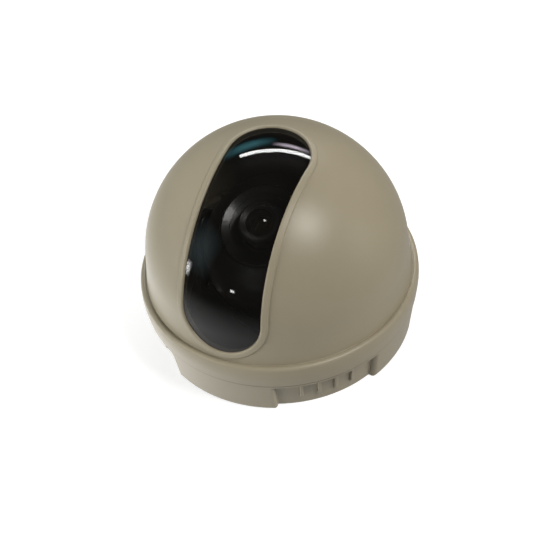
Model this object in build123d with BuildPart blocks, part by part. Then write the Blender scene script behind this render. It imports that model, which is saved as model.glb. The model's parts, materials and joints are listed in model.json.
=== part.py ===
from build123d import *
import os
from math import cos, hypot, radians, sin, sqrt, tan

# All sizes are in millimetres and all angles in degrees.

# Dome cover
dome_radius = 50.0
dome_centre_z = 36.4
cover_wall = 2.5
crease_radius = 50.7
crease_z = 25.5
crease_fillet = 0.3
ledge_radius = 52.95
ledge_z = 26.0
ledge_round = 1.4
shoulder_radius = 53.4
shoulder_z = 22.0
shoulder_round = 17.0
parting_radius = 52.3
parting_z = 15.3
parting_gap = 0.4
skirt_inner_radius = 49.8
skirt_inner_top = 23.6

# Slot in the dome and the raised bead round it
slot_half_width = 15.8
slot_low_angle = 10.4
slot_reach = 70.0
bead_width = 2.7
bead_height = 0.8
bead_root = 1.0
bead_round = 0.75

# Smoked window
glass_recess = 0.0
glass_edge_gap = 0.15
glass_bond_gap = 0.05
glass_flange_width = 3.5
glass_flange_thickness = 1.6

# Base
foot_radius = 49.4
base_top_radius = 52.0
base_floor = 2.5
base_inner_foot_radius = 45.0
base_inner_top_z = 13.0
foot_chamfer = 0.4
spigot_radius = 49.4
spigot_wall = 2.2
spigot_top = 22.5
cable_hole_radius = 8.0
ceiling_hole_count = 3
ceiling_hole_circle = 40.0
ceiling_hole_radius = 2.3
ceiling_pad_radius = 5.5
ceiling_pad_height = 1.5

# Finger grips in the base wall
grip_axis_turn = -3.5
grip_spread = 49.0
grip_span = 46.0
grip_depth = 2.4
grip_top = 14.0
grip_mouth_round = 1.9
grip_corner_round = 0.4
rib_pitch = 7.95
rib_offsets = [-1.5 * rib_pitch, -0.5 * rib_pitch, 0.5 * rib_pitch, 1.5 * rib_pitch]
rib_width = 1.3
rib_height = 1.3
rib_low = 4.4
rib_round = 0.4

# Snap tongues of the base and the groove they run in
tongue_angles = [45.0, 135.0, 225.0, 315.0]
tongue_half_angle = 8.0
tongue_slit = 1.2
tongue_slit_low = 16.0
barb_half_angle = 6.0
barb_reach = 0.9
barb_low = 19.4
barb_high = 21.2
groove_radius = 50.7
groove_low = 19.0
groove_high = 21.6

# Pan bearing
hub_radius = 16.0
hub_bore_radius = 11.0
hub_top = 7.8
running_gap = 0.06
body_gap = 0.3
table_radius = 36.0
table_low = 4.6
table_thickness = 2.9
support_ring_inner = 33.0
support_ring_outer = 35.0
stop_circle = 29.0
stop_radius = 1.5
retainer_radius = 20.0
retainer_thickness = 1.6
retainer_screw_circle = 13.5
retainer_screw_count = 3

# Cable grommet
grommet_bore_radius = 4.0
grommet_low = 0.2
grommet_top = 4.0
grommet_flange_radius = 10.0
grommet_flange_edge = 0.8

# Tilt arms
arm_inner_x = 29.0
arm_thickness = 3.0
arm_half_width = 7.0
foot_inner_x = 21.5
foot_thickness = 2.2
foot_screw_x = 25.0
foot_screw_spacing = 8.0
gusset_top = 19.0
gusset_width = 2.0
arm_round = 0.8

# Camera ball
ball_radius = 28.0
ball_wall = 2.0
lens_elevation = 65.0
ball_split = -8.0
ball_split_gap = 0.1
front_opening_radius = 16.6
seat_radius = 18.8
seat_axial = 19.6
ring_seat_radius = 20.6
ring_seat_axial = 17.7
boss_radius = 6.5
boss_root_x = 26.5
boss_face_x = arm_inner_x - body_gap
trunnion_radius = 4.0
trunnion_end_x = arm_inner_x + arm_thickness + body_gap
ball_screw_circle = 23.6
ball_screw_count = 3
ball_post_radius = 1.9
ball_post_length = 5.5
rear_post_radius = 2.9
rear_post_end = -12.5
rear_screw_seat = -10.5
rear_counterbore_radius = 2.3
harness_hole_radius = 5.0

# Lens disc and the ring that holds it in the ball
disc_radius = 16.3
disc_flange_radius = 18.5
disc_flange_low = 17.9
disc_flange_high = 19.4
disc_rim_radius = 15.6
disc_bore_radius = 8.6
disc_inner_radius = 14.3
disc_inner_axial = 19.6
dish_slope = 29.0
dish_step_radius = 13.0
dish_step_height = 0.4
dish_floor_radius = 9.8
dish_floor_axial = 20.0
retaining_ring_inner = 16.0
retaining_ring_low = 16.2
retaining_ring_thickness = 1.4
post_pitch = 18.4
post_radius = 1.7
post_top_axial = 20.2

# Circuit boards
board_side = 30.0
board_corner = 1.5
board_thickness = 1.6
sensor_board_low = 6.4
main_board_low = -3.6
spacer_pitch = 25.2
spacer_flats = 4.0
sensor_length = 10.0
sensor_width = 9.0
sensor_height = 1.6

# Lens holder
holder_side = 15.0
holder_cavity_side = 12.0
holder_shelf_low = 12.0
holder_shelf_high = 12.8
holder_aperture_radius = 4.0
holder_tube_radius = 7.6
holder_tube_top = 20.0
holder_ear_pitch = 20.0
holder_ear_radius = 2.2
holder_ear_height = 2.5
filter_side = 9.0
filter_thickness = 0.6

# Lens
thread_radius = 6.0
lens_low = 13.2
lens_head_low = 22.6
lens_head_radius = 8.2
lens_front = 27.5
lens_chamfer = 0.5
lens_flare = 0.6
lens_bore_radius = 3.6
glass_radius = 6.1
glass_seat_axial = 23.5
glass_edge_axial = 25.2
glass_bulge = 1.4
trim_inner_radius = 5.6
trim_outer_radius = 6.8
trim_low = 25.6
trim_thickness = 1.5
trim_lip = 0.8
lock_ring_radius = 8.2
lock_ring_low = 20.3
lock_ring_thickness = 2.0
rear_glass_low = 13.6
rear_glass_thickness = 2.0
rear_glass_bulge = 0.3

# Parts on the main board
processor_side = 11.0
processor_height = 1.4
capacitor_radius = 2.2
capacitor_height = 5.2
capacitor_pitch = 6.0
capacitor_y = -8.0
socket_length = 10.0
socket_width = 4.6
socket_height = 5.0
socket_wall = 0.7
socket_y = 9.0
header_pins = 6
header_pitch = 2.54
header_width = 2.5
header_x = 13.4

# Fasteners
small_shank_radius = 1.0
small_head_radius = 1.8
small_head_height = 1.3
retainer_shank_radius = 1.2
retainer_head_radius = 2.4
tilt_shank_radius = 1.5
tilt_head_radius = 3.0
tilt_head_height = 2.0
tilt_washer_radius = 6.5
tilt_washer_thickness = 0.8
hole_gap = 0.05
recess_width = 0.6
recess_depth = 0.8

# Cuts that run past a face, and the angles where rings of holes start
cut_margin = 1.0
ceiling_hole_start = 90
retainer_screw_start = 30
ball_screw_start = 90
full_sink_angle = 90

# Derived places
cover_low = parting_z + parting_gap / 2
base_top = parting_z - parting_gap / 2
wall_draft = (crease_radius - dome_radius) / (dome_centre_z - crease_z)
base_draft = (base_top_radius - foot_radius) / base_top
table_top = table_low + table_thickness
retainer_top = hub_top + retainer_thickness
arm_outer_x = arm_inner_x + arm_thickness
sensor_board_top = sensor_board_low + board_thickness
main_board_top = main_board_low + board_thickness
lens_direction = (0, -cos(radians(lens_elevation)), sin(radians(lens_elevation)))
ball_centre = (0, 0, dome_centre_z)
lens_axis = Axis(ball_centre, lens_direction)
head = Plane(origin=ball_centre, x_dir=(1, 0, 0), z_dir=lens_direction)
head_back = Plane(origin=ball_centre, x_dir=(1, 0, 0), z_dir=-head.z_dir)
head_section = Plane(origin=ball_centre, x_dir=(1, 0, 0), z_dir=-head.y_dir)
tilt_sides = [
    Plane(origin=ball_centre, x_dir=(0, 1, 0), z_dir=(1, 0, 0)),
    Plane(origin=ball_centre, x_dir=(0, -1, 0), z_dir=(-1, 0, 0)),
]
low_align = (Align.CENTER, Align.CENTER, Align.MIN)


def radial_plane(angle):
    """Upright plane through the vertical axis: x runs outward at the angle, y runs up."""
    across, along = cos(radians(angle)), sin(radians(angle))
    return Plane(origin=(0, 0, 0), x_dir=(across, along, 0), z_dir=(along, -across, 0))


def base_wall_radius(height):
    """Outer radius of the base wall at a height."""
    return foot_radius + base_draft * height


def section(plane, *points):
    """Closed face through the points on a plane."""
    with BuildSketch(plane) as face:
        with BuildLine():
            Polyline(*points, close=True)
        make_face()
    return face.sketch


def dome_skin(outer_offset, inner_offset, low_z):
    """Half section of a skin between two offsets from the outer face of the dome."""
    outer = dome_radius + outer_offset
    inner = dome_radius + inner_offset
    spread = wall_draft * (dome_centre_z - low_z)
    with BuildSketch(Plane.XZ) as skin:
        with BuildLine():
            CenterArc((0, dome_centre_z), outer, 0, 90)
            CenterArc((0, dome_centre_z), inner, 0, 90)
            Line((0, dome_centre_z + inner), (0, dome_centre_z + outer))
            Polyline(
                (outer, dome_centre_z),
                (outer + spread, low_z),
                (inner + spread, low_z),
                (inner, dome_centre_z),
            )
        make_face()
    return skin.sketch


def slot_prism(half_width):
    """Solid that fills the slot, from above the apex down to the low end, at a half width."""
    low_cos, low_sin = cos(radians(slot_low_angle)), sin(radians(slot_low_angle))
    low_axis = Plane(origin=ball_centre, x_dir=(1, 0, 0), z_dir=(0, -low_cos, low_sin))
    sector = section(
        Plane.YZ,
        (0, dome_centre_z),
        (0, dome_centre_z + slot_reach),
        (-slot_reach, dome_centre_z + slot_reach),
        (-slot_reach * low_cos, dome_centre_z + slot_reach * low_sin),
    )
    with BuildPart() as prism:
        extrude(sector, amount=half_width, both=True)
        with Locations(Plane.XY.offset(dome_centre_z), low_axis):
            Cylinder(half_width, slot_reach, align=low_align)
    return prism.part


def sphere_point(radius, axial):
    """Point of a sphere's half section at a distance along the axis."""
    return (sqrt(radius**2 - axial**2), axial)


def sphere_arc(radius, first_axial, last_axial):
    """Arc of a sphere's half section between two distances along the axis."""
    middle = sphere_point(radius, (first_axial + last_axial) / 2)
    ThreePointArc(sphere_point(radius, first_axial), middle, sphere_point(radius, last_axial))


def grip_uprights(part, low_reach, high_reach):
    """Upright edges of the finger grips that lie between two distances from the vertical axis."""
    return part.edges().filter_by(GeomType.LINE).filter_by(
        lambda edge: edge.length > grip_top / 2
        and abs(edge.center().Y) > cut_margin
        and low_reach < hypot(edge.center().X, edge.center().Y) < high_reach
    )


def screw(head_radius, head_height, shank_radius, shank_length, sunk=False):
    """Cross-recess screw: the underside of the head lies at the origin and the head points up."""
    with BuildPart() as made:
        if sunk:
            Cone(shank_radius, head_radius, head_height, align=low_align)
        else:
            Cylinder(head_radius, head_height, align=low_align)
            fillet(made.edges().group_by(Axis.Z)[-1], head_height / 3)
        with Locations((0, 0, -shank_length)):
            Cylinder(shank_radius, shank_length, align=low_align)
        with Locations((0, 0, head_height)):
            Box(1.2 * head_radius, recess_width, 2 * recess_depth, mode=Mode.SUBTRACT)
            Box(recess_width, 1.2 * head_radius, 2 * recess_depth, mode=Mode.SUBTRACT)
    return made.part


# Mounting base
grip_angles = [
    side + grip_axis_turn + spread - 90
    for side in (0, 180)
    for spread in (grip_spread, -grip_spread)
]
rib_angles = [grip_angle + rib_offset for grip_angle in grip_angles for rib_offset in rib_offsets]
with BuildPart() as grip_rib:
    rib = section(
        radial_plane(0),
        (base_wall_radius(rib_low) - grip_depth - rib_height, rib_low),
        (base_wall_radius(rib_low) - grip_depth, rib_low),
        (base_wall_radius(rib_low + rib_height) - grip_depth + rib_height, rib_low + rib_height),
        (base_wall_radius(grip_top + rib_round) - grip_depth + rib_height, grip_top + rib_round),
        (base_wall_radius(grip_top + rib_round) - grip_depth - rib_height, grip_top + rib_round),
    )
    extrude(rib, amount=rib_width / 2, both=True)
    rib_front = grip_rib.faces().sort_by(Axis.X)[-1]
    fillet(rib_front.edges().sort_by(Axis.Z)[:-1], rib_round)
with BuildPart() as mounting_base:
    wall_and_floor = section(
        Plane.XZ,
        (cable_hole_radius, 0),
        (foot_radius - foot_chamfer, 0),
        (base_wall_radius(foot_chamfer), foot_chamfer),
        (base_top_radius, base_top),
        (spigot_radius, base_top),
        (spigot_radius, spigot_top),
        (spigot_radius - spigot_wall, spigot_top),
        (spigot_radius - spigot_wall, base_inner_top_z),
        (base_inner_foot_radius, base_floor),
        (cable_hole_radius, base_floor),
    )
    revolve(wall_and_floor, axis=Axis.Z)
    for grip_angle in grip_angles:
        recess = section(
            radial_plane(grip_angle - grip_span / 2),
            (base_wall_radius(-cut_margin) - grip_depth, -cut_margin),
            (base_top_radius + cut_margin, -cut_margin),
            (base_top_radius + cut_margin, grip_top),
            (base_wall_radius(grip_top) - grip_depth, grip_top),
        )
        revolve(recess, axis=Axis.Z, revolution_arc=grip_span, mode=Mode.SUBTRACT)
    mouth_reach = base_wall_radius(grip_top / 2) - grip_depth / 2
    fillet(grip_uprights(mounting_base.part, spigot_radius - spigot_wall, mouth_reach), grip_corner_round)
    fillet(grip_uprights(mounting_base.part, mouth_reach, base_top_radius), grip_mouth_round)
    for rib_angle in rib_angles:
        with Locations(Location((0, 0, 0), (0, 0, rib_angle))):
            add(grip_rib.part)
    for tongue_angle in tongue_angles:
        for slit_side in (-tongue_half_angle, tongue_half_angle):
            slit = section(
                radial_plane(tongue_angle + slit_side),
                (spigot_radius - spigot_wall - cut_margin, tongue_slit_low),
                (spigot_radius + cut_margin, tongue_slit_low),
                (spigot_radius + cut_margin, spigot_top + cut_margin),
                (spigot_radius - spigot_wall - cut_margin, spigot_top + cut_margin),
            )
            extrude(slit, amount=tongue_slit / 2, both=True, mode=Mode.SUBTRACT)
        barb = section(
            radial_plane(tongue_angle - barb_half_angle),
            (spigot_radius - barb_reach, barb_low),
            (spigot_radius + barb_reach, barb_low),
            (spigot_radius, barb_high),
            (spigot_radius - barb_reach, barb_high),
        )
        revolve(barb, axis=Axis.Z, revolution_arc=2 * barb_half_angle)
    with BuildSketch(Plane.XY.offset(base_floor)) as hub_ring:
        Circle(hub_radius)
        Circle(hub_bore_radius, mode=Mode.SUBTRACT)
    extrude(amount=hub_top - base_floor)
    with BuildSketch(Plane.XY.offset(base_floor)) as support_ring:
        Circle(support_ring_outer)
        Circle(support_ring_inner, mode=Mode.SUBTRACT)
        with Locations((0, stop_circle)):
            Circle(stop_radius)
    extrude(amount=table_low - body_gap - base_floor)
    with BuildSketch(Plane.XY.offset(base_floor)) as ceiling_pads:
        with PolarLocations(ceiling_hole_circle, ceiling_hole_count, start_angle=ceiling_hole_start):
            Circle(ceiling_pad_radius)
    extrude(amount=ceiling_pad_height)
    with PolarLocations(ceiling_hole_circle, ceiling_hole_count, start_angle=ceiling_hole_start):
        Hole(ceiling_hole_radius)
    with Locations((0, 0, hub_top)):
        with PolarLocations(retainer_screw_circle, retainer_screw_count, start_angle=retainer_screw_start):
            Hole(retainer_shank_radius + hole_gap, depth=hub_top - base_floor - body_gap)

# Cable grommet
with BuildPart() as cable_grommet:
    grommet_ring = section(
        Plane.XZ,
        (grommet_bore_radius, grommet_low),
        (cable_hole_radius - hole_gap, grommet_low),
        (cable_hole_radius - hole_gap, base_floor),
        (grommet_flange_radius, base_floor),
        (grommet_flange_radius, grommet_top - grommet_flange_edge),
        (grommet_flange_radius - grommet_flange_edge, grommet_top),
        (grommet_bore_radius, grommet_top),
    )
    revolve(grommet_ring, axis=Axis.Z)

# Dome cover with its shoulder and bead
bead_prism = slot_prism(slot_half_width + bead_width)
opening_prism = slot_prism(slot_half_width)
with BuildPart() as bead:
    revolve(dome_skin(bead_height, -bead_root, crease_z), axis=Axis.Z)
    add(bead_prism, mode=Mode.INTERSECT)
    add(opening_prism, mode=Mode.SUBTRACT)
    bead_outside = [
        bead.faces().filter_by(GeomType.SPHERE).sort_by(SortBy.AREA)[-1],
        bead.faces().filter_by(GeomType.CONE).sort_by(Axis.Y)[0],
    ]
    bead_rims = [edge for face in bead_outside for edge in face.edges() if edge.length > 2 * bead_width]
    fillet(bead_rims, bead_round)
with BuildPart() as dome_cover:
    revolve(dome_skin(0, -cover_wall, crease_z), axis=Axis.Z)
    with BuildSketch(Plane.XZ) as shoulder:
        with BuildLine():
            Polyline(
                (crease_radius, crease_z),
                (ledge_radius, ledge_z),
                (shoulder_radius, shoulder_z),
                (parting_radius, cover_low),
                (skirt_inner_radius, cover_low),
                (skirt_inner_radius, skirt_inner_top),
                (crease_radius - cover_wall, crease_z),
                close=True,
            )
        make_face()
        fillet(shoulder.vertices().sort_by(Axis.X)[-2], ledge_round)
        fillet(shoulder.vertices().sort_by(Axis.X)[-1], shoulder_round)
    revolve(axis=Axis.Z)
    crease = dome_cover.edges().filter_by(GeomType.CIRCLE).filter_by_position(Axis.Z, crease_z, crease_z)
    fillet(crease.sort_by(SortBy.RADIUS)[-1], crease_fillet)
    add(bead.part)
    add(opening_prism, mode=Mode.SUBTRACT)
    groove = section(
        Plane.XZ,
        (skirt_inner_radius - cut_margin, groove_low),
        (groove_radius, groove_low),
        (groove_radius, groove_high),
        (skirt_inner_radius - cut_margin, groove_high),
    )
    revolve(groove, axis=Axis.Z, mode=Mode.SUBTRACT)

# Smoked window
glass_inner_offset = -cover_wall - glass_bond_gap - glass_flange_thickness
flange_prism = slot_prism(slot_half_width + glass_flange_width)
with BuildPart() as pane:
    revolve(dome_skin(-glass_recess, glass_inner_offset, crease_z), axis=Axis.Z)
    add(slot_prism(slot_half_width - glass_edge_gap), mode=Mode.INTERSECT)
with BuildPart() as smoked_window:
    revolve(dome_skin(-cover_wall - glass_bond_gap, glass_inner_offset, crease_z + cut_margin), axis=Axis.Z)
    add(flange_prism, mode=Mode.INTERSECT)
    add(pane.part)

# Pan table
with BuildPart() as pan_table:
    with BuildSketch(Plane.XY.offset(table_low)) as table_plan:
        Circle(table_radius)
        Circle(hub_radius + running_gap, mode=Mode.SUBTRACT)
        with GridLocations(2 * foot_screw_x, foot_screw_spacing, 2, 2):
            Circle(small_shank_radius + hole_gap, mode=Mode.SUBTRACT)
    extrude(amount=table_thickness)
    with Locations((0, -stop_circle, base_floor + body_gap)):
        Cylinder(stop_radius, table_low - base_floor - body_gap, align=low_align)

# Pan retaining ring and its screws
with BuildPart() as pan_retaining_ring:
    with BuildSketch(Plane.XY.offset(hub_top)) as retainer_plan:
        Circle(retainer_radius)
        Circle(hub_bore_radius, mode=Mode.SUBTRACT)
    extrude(amount=retainer_thickness)
    with Locations((0, 0, retainer_top)):
        with PolarLocations(retainer_screw_circle, retainer_screw_count, start_angle=retainer_screw_start):
            CounterSinkHole(
                retainer_shank_radius + hole_gap,
                retainer_head_radius + hole_gap,
                counter_sink_angle=full_sink_angle,
            )
retainer_head_height = retainer_head_radius - retainer_shank_radius
retainer_screw = screw(
    retainer_head_radius,
    retainer_head_height,
    retainer_shank_radius,
    retainer_top - retainer_head_height - base_floor - 2 * body_gap,
    sunk=True,
)
with BuildPart() as pan_ring_screws:
    with Locations((0, 0, retainer_top - retainer_head_height)):
        with PolarLocations(retainer_screw_circle, retainer_screw_count, start_angle=retainer_screw_start):
            add(retainer_screw)

# Tilt arms and their foot screws
with BuildPart() as tilt_arm_right:
    with BuildSketch(Plane.YZ.offset(arm_inner_x)) as arm_side:
        with Locations((0, (table_top + dome_centre_z) / 2)):
            Rectangle(2 * arm_half_width, dome_centre_z - table_top)
        with Locations((0, dome_centre_z)):
            Circle(arm_half_width)
    extrude(amount=arm_thickness)
    fillet(tilt_arm_right.edges().filter_by(Axis.Z), arm_round)
    with BuildSketch(Plane.XY.offset(table_top)) as arm_foot:
        with Locations(((foot_inner_x + arm_outer_x - arm_round) / 2, 0)):
            Rectangle(arm_outer_x - arm_round - foot_inner_x, 2 * arm_half_width)
        with Locations((foot_screw_x, 0)):
            with GridLocations(0, foot_screw_spacing, 1, 2):
                Circle(small_shank_radius + hole_gap, mode=Mode.SUBTRACT)
    extrude(amount=foot_thickness)
    gusset = section(
        Plane.XZ,
        (foot_inner_x + cut_margin, table_top + foot_thickness),
        (arm_inner_x + cut_margin, table_top + foot_thickness),
        (arm_inner_x + cut_margin, gusset_top),
        (arm_inner_x, gusset_top),
    )
    extrude(gusset, amount=gusset_width / 2, both=True)
    with Locations(Plane.YZ.offset(arm_inner_x)):
        with Locations((0, dome_centre_z, 0)):
            Hole(trunnion_radius + running_gap)
with BuildPart() as tilt_arm_left:
    mirror(tilt_arm_right.part, about=Plane.YZ)
foot_screw = screw(
    small_head_radius,
    small_head_height,
    small_shank_radius,
    foot_thickness + table_thickness - body_gap,
)
with BuildPart() as arm_screws:
    with Locations((0, 0, table_top + foot_thickness)):
        with GridLocations(2 * foot_screw_x, foot_screw_spacing, 2, 2):
            add(foot_screw)

# Camera ball, front shell
with BuildPart() as ball_front:
    with BuildSketch(head_section) as front_shell:
        with BuildLine():
            opening_axial = sqrt(ball_radius**2 - front_opening_radius**2)
            bore_axial = sqrt((ball_radius - ball_wall) ** 2 - ring_seat_radius**2)
            sphere_arc(ball_radius, ball_split, opening_axial)
            sphere_arc(ball_radius - ball_wall, ball_split, bore_axial)
            Line(sphere_point(ball_radius, ball_split), sphere_point(ball_radius - ball_wall, ball_split))
            Polyline(
                (ring_seat_radius, bore_axial),
                (ring_seat_radius, ring_seat_axial),
                (seat_radius, ring_seat_axial),
                (seat_radius, seat_axial),
                (front_opening_radius, seat_axial),
                (front_opening_radius, opening_axial),
            )
        make_face()
    revolve(axis=lens_axis)
    for tilt_side in tilt_sides:
        with Locations(tilt_side.offset(boss_root_x)):
            Cylinder(boss_radius, boss_face_x - boss_root_x, align=low_align)
            Cylinder(trunnion_radius, trunnion_end_x - boss_root_x, align=low_align)
    for tilt_side in tilt_sides:
        with Locations(tilt_side.offset(trunnion_end_x)):
            Hole(tilt_shank_radius + hole_gap, depth=trunnion_end_x - boss_root_x)
    with BuildSketch(head.offset(ball_split)) as front_posts:
        with PolarLocations(ball_screw_circle, ball_screw_count, start_angle=ball_screw_start):
            Circle(ball_post_radius)
    extrude(amount=ball_post_length)
    with Locations(head_back.offset(-ball_split)):
        with PolarLocations(ball_screw_circle, ball_screw_count, start_angle=-ball_screw_start):
            Hole(small_shank_radius + hole_gap, depth=ball_post_length - body_gap)

# Camera ball, rear shell
with BuildPart() as ball_rear:
    rear_edge = ball_split - ball_split_gap
    with BuildSketch(head_section) as rear_shell:
        with BuildLine():
            sphere_arc(ball_radius, -ball_radius, rear_edge)
            sphere_arc(ball_radius - ball_wall, ball_wall - ball_radius, rear_edge)
            Line((0, -ball_radius), (0, ball_wall - ball_radius))
            Line(sphere_point(ball_radius, rear_edge), sphere_point(ball_radius - ball_wall, rear_edge))
        make_face()
    revolve(axis=lens_axis)
    with BuildSketch(head.offset(rear_edge)) as rear_posts:
        with PolarLocations(ball_screw_circle, ball_screw_count, start_angle=ball_screw_start):
            Circle(rear_post_radius)
    extrude(amount=rear_post_end - rear_edge)
    with Locations(ball_centre):
        Sphere(ball_radius, mode=Mode.INTERSECT)
    with Locations(head_back.offset(-rear_screw_seat)):
        with PolarLocations(ball_screw_circle, ball_screw_count, start_angle=-ball_screw_start):
            Hole(small_shank_radius + hole_gap)
            Cylinder(rear_counterbore_radius, ball_radius, align=low_align, mode=Mode.SUBTRACT)
    with Locations(head_back):
        Cylinder(harness_hole_radius, 2 * ball_radius, align=low_align, mode=Mode.SUBTRACT)
shell_screw = screw(
    small_head_radius,
    small_head_height,
    small_shank_radius,
    ball_split - rear_screw_seat + ball_post_length - 2 * body_gap,
)
with BuildPart() as ball_screws:
    with Locations(head_back.offset(-rear_screw_seat)):
        with PolarLocations(ball_screw_circle, ball_screw_count, start_angle=-ball_screw_start):
            add(shell_screw)

# Tilt washers and tilt lock screws
tilt_screw = screw(
    tilt_head_radius,
    tilt_head_height,
    tilt_shank_radius,
    trunnion_end_x + tilt_washer_thickness - boss_root_x - body_gap,
)
with BuildPart() as tilt_washers:
    for tilt_side in tilt_sides:
        with BuildSketch(tilt_side.offset(trunnion_end_x)) as washer_face:
            Circle(tilt_washer_radius)
            Circle(tilt_shank_radius + hole_gap, mode=Mode.SUBTRACT)
        extrude(amount=tilt_washer_thickness)
with BuildPart() as tilt_screws:
    for tilt_side in tilt_sides:
        with Locations(tilt_side.offset(trunnion_end_x + tilt_washer_thickness)):
            add(tilt_screw)

# Retaining ring of the lens disc
with BuildPart() as disc_retaining_ring:
    with BuildSketch(head.offset(retaining_ring_low)) as retaining_plan:
        Circle(ring_seat_radius - hole_gap)
        Circle(retaining_ring_inner, mode=Mode.SUBTRACT)
    extrude(amount=retaining_ring_thickness)

# Lens disc
disc_edge_axial = sqrt(ball_radius**2 - disc_radius**2)
disc_rim_axial = sqrt(ball_radius**2 - disc_rim_radius**2)
disc_wall = disc_radius - disc_inner_radius
dish_step_axial = disc_rim_axial - (disc_rim_radius - dish_step_radius) * tan(radians(dish_slope))
with BuildPart() as lens_disc:
    with BuildSketch(head_section) as disc_section:
        with BuildLine():
            sphere_arc(ball_radius, disc_edge_axial, disc_rim_axial)
            Polyline(
                (disc_rim_radius, disc_rim_axial),
                (dish_step_radius, dish_step_axial),
                (dish_step_radius, dish_step_axial - dish_step_height),
                (dish_floor_radius, dish_floor_axial),
                (disc_bore_radius, dish_floor_axial),
                (disc_bore_radius, dish_floor_axial - disc_wall),
                (disc_inner_radius, disc_inner_axial),
                (disc_inner_radius, disc_flange_low),
                (disc_flange_radius, disc_flange_low),
                (disc_flange_radius, disc_flange_high),
                (disc_radius, disc_flange_high),
                (disc_radius, disc_edge_axial),
            )
        make_face()
    revolve(axis=lens_axis)
    with BuildSketch(head.offset(sensor_board_top)) as disc_posts:
        with GridLocations(post_pitch, post_pitch, 2, 2):
            Circle(post_radius)
            Circle(small_shank_radius + hole_gap, mode=Mode.SUBTRACT)
    extrude(amount=post_top_axial - sensor_board_top)

# Sensor board, image sensor and infrared filter
with BuildPart() as sensor_board:
    with BuildSketch(head.offset(sensor_board_low)) as sensor_board_plan:
        RectangleRounded(board_side, board_side, board_corner)
        with GridLocations(post_pitch, post_pitch, 2, 2):
            Circle(small_shank_radius + hole_gap, mode=Mode.SUBTRACT)
        with GridLocations(spacer_pitch, spacer_pitch, 2, 2):
            Circle(small_shank_radius + hole_gap, mode=Mode.SUBTRACT)
        with GridLocations(holder_ear_pitch, 0, 2, 1):
            Circle(small_shank_radius + hole_gap, mode=Mode.SUBTRACT)
    extrude(amount=board_thickness)
with BuildPart(head) as image_sensor:
    with Locations((0, 0, sensor_board_top)):
        Box(sensor_length, sensor_width, sensor_height, align=low_align)
    chamfer(image_sensor.faces().sort_by(lens_axis)[-1].edges(), sensor_height / 6)
with BuildPart(head) as infrared_filter:
    with Locations((0, 0, holder_shelf_low - filter_thickness)):
        Box(filter_side, filter_side, filter_thickness, align=low_align)

# Lens holder and its screws
with BuildPart() as lens_holder:
    with BuildSketch(head.offset(sensor_board_top)) as holder_block:
        Rectangle(holder_side, holder_side)
    extrude(amount=holder_shelf_high - sensor_board_top)
    with BuildSketch(head.offset(sensor_board_top)) as holder_ears:
        Rectangle(holder_ear_pitch, 2 * holder_ear_radius)
        with GridLocations(holder_ear_pitch, 0, 2, 1):
            Circle(holder_ear_radius)
    extrude(amount=holder_ear_height)
    with BuildSketch(head.offset(holder_shelf_high)) as holder_tube:
        Circle(holder_tube_radius)
    extrude(amount=holder_tube_top - holder_shelf_high)
    with BuildSketch(head.offset(sensor_board_top)) as holder_cavity:
        Rectangle(holder_cavity_side, holder_cavity_side)
    extrude(amount=holder_shelf_low - sensor_board_top, mode=Mode.SUBTRACT)
    with BuildSketch(head.offset(sensor_board_top)) as holder_aperture:
        Circle(holder_aperture_radius)
        with GridLocations(holder_ear_pitch, 0, 2, 1):
            Circle(small_shank_radius + hole_gap)
    extrude(amount=holder_tube_top, mode=Mode.SUBTRACT)
    with BuildSketch(head.offset(holder_shelf_high)) as holder_thread:
        Circle(thread_radius + running_gap)
    extrude(amount=holder_tube_top, mode=Mode.SUBTRACT)
holder_screw = screw(
    small_head_radius,
    small_head_height,
    small_shank_radius,
    board_thickness + holder_ear_height - body_gap,
)
with BuildPart() as holder_screws:
    with Locations(head_back.offset(-sensor_board_low)):
        with GridLocations(holder_ear_pitch, 0, 2, 1):
            add(holder_screw)

# Main board with its spacers and screws
with BuildPart() as main_board:
    with BuildSketch(head.offset(main_board_low)) as main_board_plan:
        RectangleRounded(board_side, board_side, board_corner)
        with GridLocations(spacer_pitch, spacer_pitch, 2, 2):
            Circle(small_shank_radius + hole_gap, mode=Mode.SUBTRACT)
    extrude(amount=board_thickness)
with BuildPart() as board_spacers:
    with BuildSketch(head.offset(main_board_top)) as spacer_plan:
        with GridLocations(spacer_pitch, spacer_pitch, 2, 2):
            RegularPolygon(spacer_flats / 2, 6, major_radius=False)
            Circle(small_shank_radius + hole_gap, mode=Mode.SUBTRACT)
    extrude(amount=sensor_board_low - main_board_top)
spacer_screw = screw(small_head_radius, small_head_height, small_shank_radius, 2 * board_thickness)
with BuildPart() as board_screws:
    with Locations(head.offset(sensor_board_top), head_back.offset(-main_board_low)):
        with GridLocations(spacer_pitch, spacer_pitch, 2, 2):
            add(spacer_screw)
disc_screw = screw(small_head_radius, small_head_height, small_shank_radius, 3 * board_thickness)
with BuildPart() as disc_screws:
    with Locations(head_back.offset(-sensor_board_low)):
        with GridLocations(post_pitch, post_pitch, 2, 2):
            add(disc_screw)

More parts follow.
